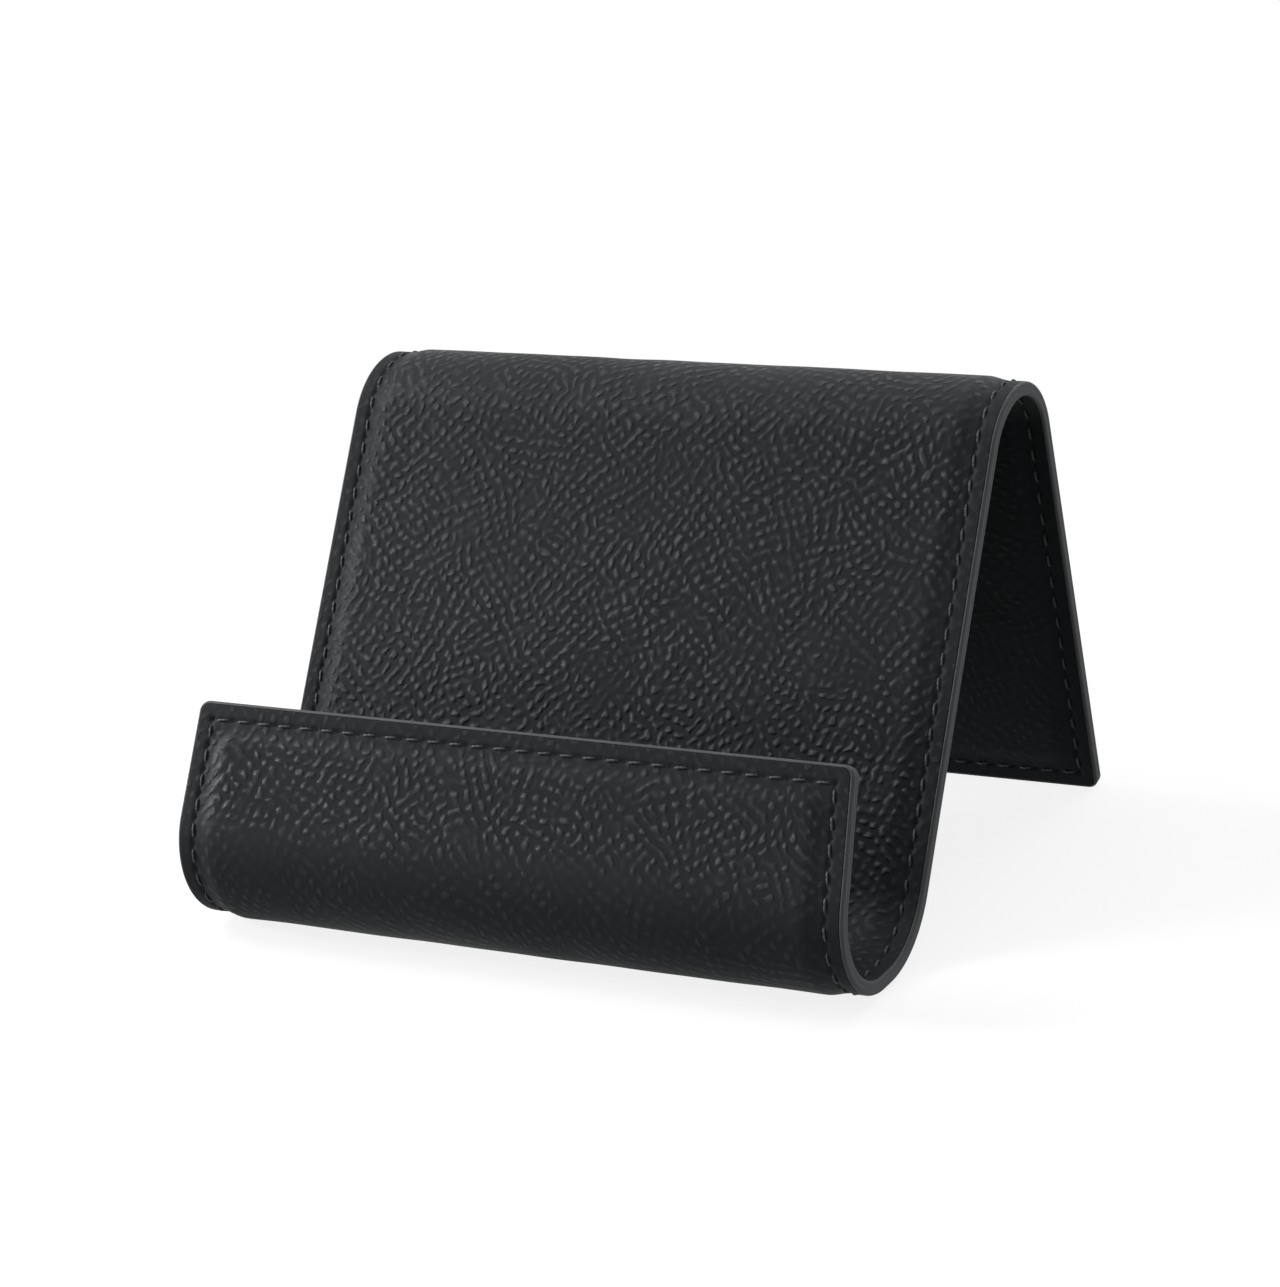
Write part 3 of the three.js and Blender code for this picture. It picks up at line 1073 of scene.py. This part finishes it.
corners = [(-1, -1, 0), (1, -1, 0), (1, 1, 0), (-1, 1, 0)]
floor_mesh = bpy.data.meshes.new("floor")
floor_mesh.from_pydata([Vector(corner) * FLOOR_HALF for corner in corners], [], [(0, 1, 2, 3)])
floor_mesh.materials.append(white_ground())
in_scene("floor", floor_mesh)
bpy.context.scene.world = studio_world()

# %% [markdown]
# ## Lamps
# The photograph's light is soft and comes from the upper left. One sun lamp would be too hard for
# it, and one big lamp alone would leave the right side black. So a wide soft lamp stands at the
# upper left, and a small weak one at the left and one in front let the pebbles of the lip sparkle.
# Two weak lamps at the right and behind draw the rim, and a very wide lamp almost overhead lights
# the ground evenly.

# %% Lamps
LAMPS = {
    "key_lamp": ((-700, -140, 700), (0, 0, 30), 360, 7.6),
    "side_lamp": ((-290, -110, 100), (-28, -38, 26), 40, 0.7),
    "front_lamp": ((-60, -350, 60), (36, -38, 20), 100, 0.4),
    "right_lamp": ((620, 60, 260), (40, -10, 30), 200, 0.6),
    "back_lamp": ((120, 520, 420), (0, 20, 40), 260, 1.0),
}
HIGH_LAMP_STRENGTH = 1.2
HIGH_LAMP_SPREAD = 65
HIGH_LAMP_TURN = (-18, -6, 0)


def soft_lamp(name, place, aim, size, power):
    """A square soft lamp that points at a place. Places are in millimetres."""
    data = bpy.data.lights.new(name, "AREA")
    data.shape = "SQUARE"
    data.size = size * MM
    data.energy = power
    obj = in_scene(name, data)
    obj.location = Vector(place) * MM
    obj.rotation_euler = (Vector(aim) - Vector(place)).to_track_quat("-Z", "Y").to_euler()


def high_lamp():
    """A very wide, far lamp almost overhead, which lights the ground evenly."""
    data = bpy.data.lights.new("high_lamp", "SUN")
    data.energy = HIGH_LAMP_STRENGTH
    data.angle = math.radians(HIGH_LAMP_SPREAD)
    in_scene("high_lamp", data).rotation_euler = [math.radians(turn) for turn in HIGH_LAMP_TURN]


for name, (place, aim, size, power) in LAMPS.items():
    soft_lamp(name, place, aim, size, power)
    print(f"{name}: {size} mm wide, {power} W")
high_lamp()

# %% [markdown]
# ## Camera
# The camera's place, direction and lens were found from the outline in the photograph. It stands
# to the front right of the holder, a little above it, and leans about five degrees. A camera that
# only tracks the holder would not lean, so its three axes are worked out from the angles.

# %% Camera
CAMERA_PLACE = (238.1, -430.1, 194.0)
CAMERA_AZIMUTH = 28.95
CAMERA_PITCH = 18.19
CAMERA_ROLL = -4.83
FOCAL_PIXELS = 3721
FRAME_HEIGHT = 1287
SENSOR = 36

angles = (CAMERA_AZIMUTH, CAMERA_PITCH, CAMERA_ROLL)
azimuth, pitch, roll = (math.radians(angle) for angle in angles)
level = Vector((math.cos(azimuth), math.sin(azimuth), 0))
inwards = Vector((-math.sin(azimuth), math.cos(azimuth), 0))
ahead = inwards * math.cos(pitch) - Vector((0, 0, math.sin(pitch)))
upright = level.cross(ahead)
right = math.cos(roll) * level + math.sin(roll) * upright
up = math.cos(roll) * upright - math.sin(roll) * level

camera_data = bpy.data.cameras.new("camera")
camera_data.sensor_width = SENSOR
camera_data.lens = FOCAL_PIXELS / FRAME_HEIGHT * SENSOR
camera_data.clip_start = 0.01
camera_data.clip_end = 50
camera = in_scene("camera", camera_data)
turned = Matrix((right, up, -ahead)).transposed().to_4x4()
camera.matrix_world = Matrix.Translation(Vector(CAMERA_PLACE) * MM) @ turned
bpy.context.scene.camera = camera
bpy.context.scene.view_settings.view_transform = "Standard"
print(f"camera {Vector(CAMERA_PLACE).length:.0f} mm away, with a {camera_data.lens:.0f} mm lens")
